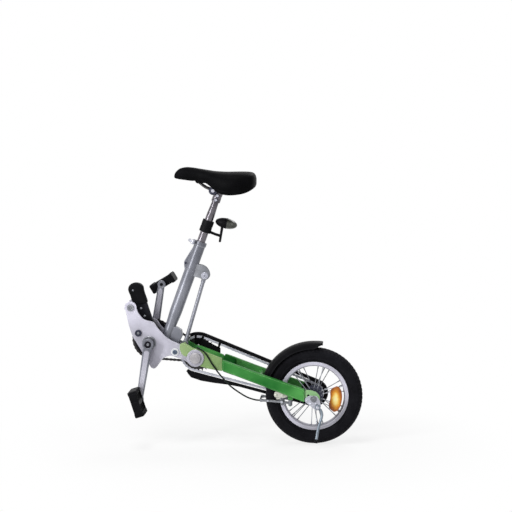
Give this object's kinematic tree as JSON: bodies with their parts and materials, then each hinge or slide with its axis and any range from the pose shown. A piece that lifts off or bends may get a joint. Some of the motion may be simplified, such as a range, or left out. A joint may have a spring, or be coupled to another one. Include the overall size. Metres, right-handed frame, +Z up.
{
  "type": "folding bicycle rear half",
  "caption": "Rear half of a small folding bicycle: side plates, swinging rear arm with wheel, cranks and two-stage chain drive, seat mast with saddle, strut, kickstand and lock lever.",
  "frame": {"origin": "middle of the upper front pivot bolt, on the bicycle's mid-plane", "axes": "+X to the rear of the bicycle, +Y to its chain side, +Z up"},
  "size_m": [0.7731, 0.33, 0.8999],
  "materials": {
    "silver_paint": "satin silver paint on alloy",
    "green_paint": "satin metallic green paint on alloy",
    "steel": "plain steel",
    "chrome": "bright plated steel",
    "dull_metal": "dull grey alloy",
    "white_trim": "white painted bolt and washer",
    "black_plastic": "matte black plastic",
    "tyre_rubber": "matte black rubber",
    "saddle_cover": "smooth black cover",
    "dark_lens": "dark glossy plastic",
    "amber_lens": "clear amber plastic"
  },
  "bodies": {
    "frame": {"main_plate_near": "silver_paint", "main_plate_far": "silver_paint", "bottom_bracket_shell": "silver_paint", "rear_pivot_bolt": "silver_paint", "front_pivot_bolt_upper": "dull_metal", "front_pivot_bolt_lower": "dull_metal", "pivot_cap": "dull_metal", "bottom_bracket_cup_near": "steel", "bottom_bracket_cup_far": "steel", "seat_pivot_pin": "steel", "seat_stop_bar": "steel", "rear_pivot_tube": "steel", "primary_chain": "steel", "rear_plate_bolt": "white_trim"},
    "swingarm": {"swingarm_cheek_near": "green_paint", "swingarm_cheek_far": "green_paint", "swingarm_crossbar": "green_paint", "swingarm_arm_near": "green_paint", "swingarm_arm_far": "green_paint", "dropout_near": "green_paint", "dropout_far": "green_paint", "mudguard_bridge": "green_paint", "brake_mount_near": "green_paint", "brake_mount_far": "green_paint", "rear_axle": "steel", "kickstand_bracket": "steel", "secondary_chain": "steel", "chain_guard": "black_plastic", "mudguard": "black_plastic", "brake_cable": "black_plastic"},
    "seat_tube": {"seat_tube": "silver_paint"},
    "strut": {"seat_strut": "silver_paint"},
    "seat_post": {"seat_post": "chrome", "saddle_clamp": "chrome", "lamp_bracket": "black_plastic", "rear_lamp": "dark_lens"},
    "clamp_lever": {"seat_clamp_lever": "steel"},
    "saddle": {"saddle_pad": "saddle_cover", "saddle_base": "black_plastic", "saddle_rails": "chrome"},
    "crankset": {"crank_near": "silver_paint", "crank_far": "silver_paint", "crank_spindle": "steel", "chainring": "steel"},
    "pedal_near": {"pedal_near": "black_plastic"},
    "pedal_far": {"pedal_far": "black_plastic"},
    "jackshaft": {"jackshaft": "steel", "jackshaft_sprocket_large": "steel", "jackshaft_sprocket_small": "steel"},
    "freewheel": {"rear_sprocket": "steel"},
    "wheel": {"rear_hub_spokes": "steel", "rear_rim": "silver_paint", "rear_tyre": "tyre_rubber", "spoke_reflector": "amber_lens"},
    "kickstand": {"kickstand": "dull_metal"},
    "brake_near": {"brake_arm_near": "dull_metal"},
    "brake_far": {"brake_arm_far": "dull_metal"},
    "lock_lever": {"lock_lever": "black_plastic"}
  },
  "joints": [
    {"name": "rear_fold", "type": "hinge", "parent": "frame", "child": "swingarm", "pos_m": [0.2118, 0, -0.1616], "axis": [0, 1, 0], "range_deg": [0, 50]},
    {"name": "seat_tube_fold", "type": "hinge", "parent": "frame", "child": "seat_tube", "pos_m": [0.1083, 0, -0.1129], "axis": [0, 1, 0], "range_deg": [-13, 0]},
    {"name": "strut_swing", "type": "hinge", "parent": "seat_tube", "child": "strut", "pos_m": [0.239, 0, 0.1026], "axis": [0, 1, 0], "range_deg": [-12, 0]},
    {"name": "seat_height", "type": "slide", "parent": "seat_tube", "child": "seat_post", "axis": [0.342, 0, 0.9397], "range_m": [-0.03, 0.08]},
    {"name": "seat_clamp_open", "type": "hinge", "parent": "seat_tube", "child": "clamp_lever", "pos_m": [0.20263, -0.024, 0.21352], "axis": [0.342, 0, 0.9397], "range_deg": [0, 110]},
    {"name": "saddle_tilt", "type": "hinge", "parent": "seat_post", "child": "saddle", "pos_m": [0.268, 0, 0.379], "axis": [0, 1, 0], "range_deg": [-6, 6]},
    {"name": "crank_spin", "type": "hinge", "parent": "frame", "child": "crankset", "pos_m": [0.0605, 0, -0.115], "axis": [0, 1, 0], "continuous": true, "deforming": ["primary_chain", "secondary_chain"]},
    {"name": "pedal_near_spin", "type": "hinge", "parent": "crankset", "child": "pedal_near", "pos_m": [0.03203, -0.076, -0.29476], "axis": [0, 1, 0], "continuous": true},
    {"name": "pedal_far_spin", "type": "hinge", "parent": "crankset", "child": "pedal_far", "pos_m": [0.08897, 0.076, 0.06476], "axis": [0, 1, 0], "continuous": true},
    {"name": "jackshaft_spin", "type": "hinge", "parent": "frame", "child": "jackshaft", "pos_m": [0.2118, 0, -0.1616], "axis": [0, 1, 0], "continuous": true},
    {"name": "freewheel_spin", "type": "hinge", "parent": "swingarm", "child": "freewheel", "pos_m": [0.5948, 0, -0.2879], "axis": [0, 1, 0], "continuous": true},
    {"name": "wheel_spin", "type": "hinge", "parent": "swingarm", "child": "wheel", "pos_m": [0.5948, 0, -0.2879], "axis": [0, 1, 0], "continuous": true},
    {"name": "kickstand_fold", "type": "hinge", "parent": "swingarm", "child": "kickstand", "pos_m": [0.608, -0.066, -0.3139], "axis": [0, 1, 0], "range_deg": [-80, 0]},
    {"name": "brake_near_close", "type": "hinge", "parent": "swingarm", "child": "brake_near", "pos_m": [0.5187, -0.034, -0.3099], "axis": [0, 0, 1], "range_deg": [-1.4, 1.4], "deforming": ["brake_cable"]},
    {"name": "brake_far_close", "type": "hinge", "parent": "swingarm", "child": "brake_far", "pos_m": [0.5187, 0.034, -0.3099], "axis": [0, 0, 1], "range_deg": [-1.4, 1.4]},
    {"name": "lock_release", "type": "hinge", "parent": "frame", "child": "lock_lever", "pos_m": [0.08, 0, -0.08], "axis": [0, 1, 0], "range_deg": [0, 25]}
  ],
  "couplings": [
    {"joint": "seat_tube_fold", "follows": "rear_fold", "ratio": -0.242},
    {"joint": "strut_swing", "follows": "rear_fold", "ratio": -0.218},
    {"joint": "jackshaft_spin", "follows": "crank_spin", "ratio": 2.2857},
    {"joint": "freewheel_spin", "follows": "crank_spin", "ratio": 4.5714},
    {"joint": "brake_far_close", "follows": "brake_near_close", "ratio": -1}
  ]
}
